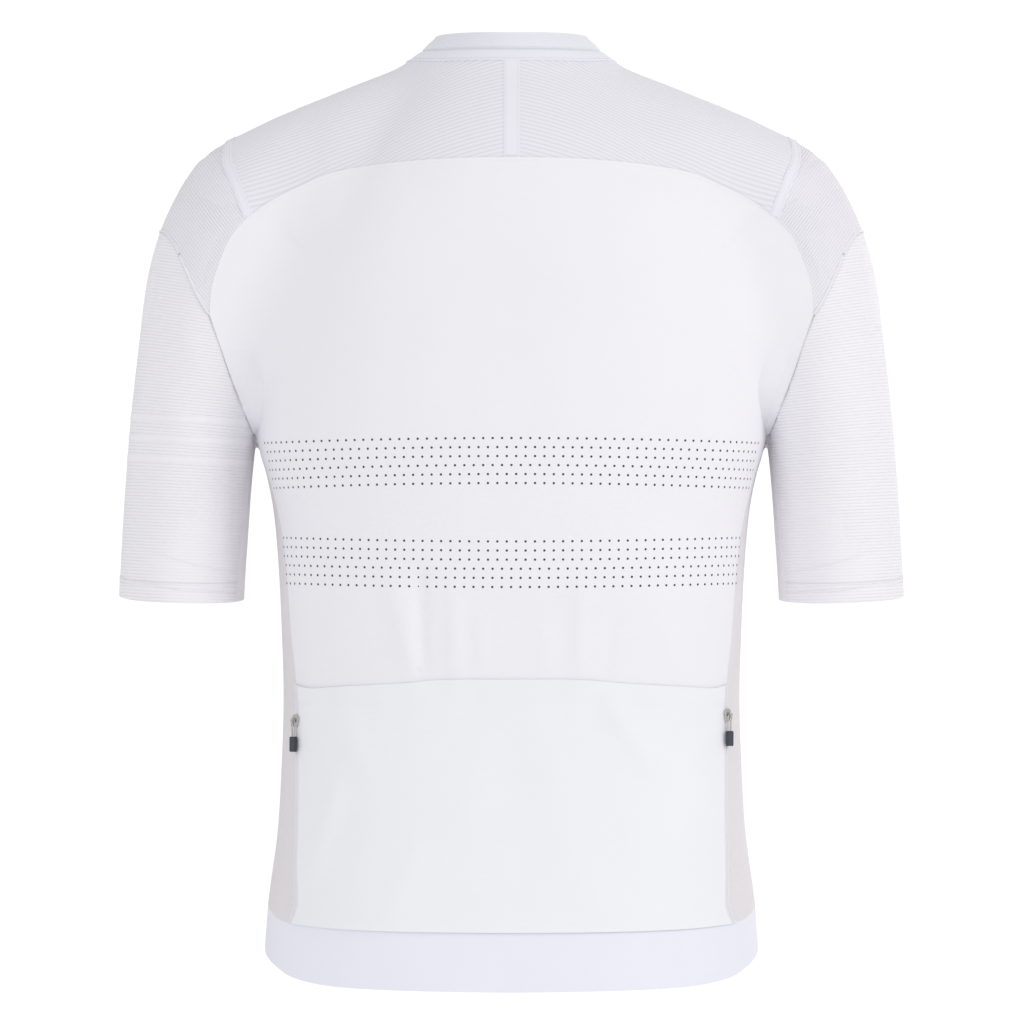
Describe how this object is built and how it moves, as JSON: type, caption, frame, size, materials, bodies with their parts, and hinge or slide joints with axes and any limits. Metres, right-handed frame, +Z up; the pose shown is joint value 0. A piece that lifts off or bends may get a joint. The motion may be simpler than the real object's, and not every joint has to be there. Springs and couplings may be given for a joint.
{
  "type": "cycling jersey",
  "caption": "Short-sleeved cycling jersey in its worn shape: open hollow cloth shell with ribbed yokes and sleeves, back pockets with side zips, and a full front zip.",
  "frame": {"origin": "middle of the neck base, where the wearer's neck and shoulders hold the jersey", "axes": "+Z up, +Y towards the jersey's front, +X towards the wearer's right; the back with the pocket faces -Y"},
  "size_m": [0.5482, 0.2301, 0.6553],
  "materials": {
    "back_cloth": "matte",
    "yoke_cloth": "ribbed, matte",
    "tape": "smooth, matte",
    "cap_cloth": "ribbed, matte",
    "sleeve_cloth": "ribbed, matte",
    "strip_cloth": "smooth, matte",
    "side_cloth": "matte",
    "collar_cloth": "matte",
    "pocket_cloth": "matte",
    "hem_cloth": "smooth, slightly silky",
    "zip_cloth": "matte",
    "metal": "satin",
    "moulded_tab": "matte"
  },
  "bodies": {
    "jersey": {"back_panel": "back_cloth", "pocket_panel": "pocket_cloth", "pocket_zip_left": "zip_cloth", "pocket_zip_right": "zip_cloth", "front_zip": "zip_cloth", "hem_band_back": "hem_cloth", "hem_band_left": "hem_cloth", "hem_band_right": "hem_cloth", "yoke_left": "yoke_cloth", "yoke_right": "yoke_cloth", "sleeve_cap_left": "cap_cloth", "sleeve_cap_right": "cap_cloth", "shoulder_tape_left": "tape", "shoulder_tape_right": "tape", "back_tape": "tape", "sleeve_left": "sleeve_cloth", "sleeve_right": "sleeve_cloth", "underarm_strip_left": "strip_cloth", "underarm_strip_right": "strip_cloth", "front_left": "side_cloth", "front_right": "side_cloth", "collar": "collar_cloth", "pocket_slider_left": "metal", "pocket_slider_right": "metal", "front_slider": "metal"},
    "pocket_pull_left": {"pull_wire_left": "metal", "pull_tab_left": "moulded_tab"},
    "pocket_pull_right": {"pull_wire_right": "metal", "pull_tab_right": "moulded_tab"},
    "front_zip_pull": {"front_pull": "metal"}
  },
  "joints": [
    {"name": "pocket_pull_left_swing", "type": "hinge", "parent": "jersey", "child": "pocket_pull_left", "pos_m": [-0.15027, -0.05057, -0.4599], "axis": [-0.5683, 0.822, -0.0367], "range_deg": [0, 150]},
    {"name": "pocket_pull_right_swing", "type": "hinge", "parent": "jersey", "child": "pocket_pull_right", "pos_m": [0.15032, -0.05042, -0.45593], "axis": [-0.5661, -0.8235, 0.0367], "range_deg": [0, 150]},
    {"name": "front_pull_swing", "type": "hinge", "parent": "jersey", "child": "front_zip_pull", "pos_m": [0, 0.06503, -0.04928], "axis": [1, 0, 0], "range_deg": [0, 130]}
  ]
}
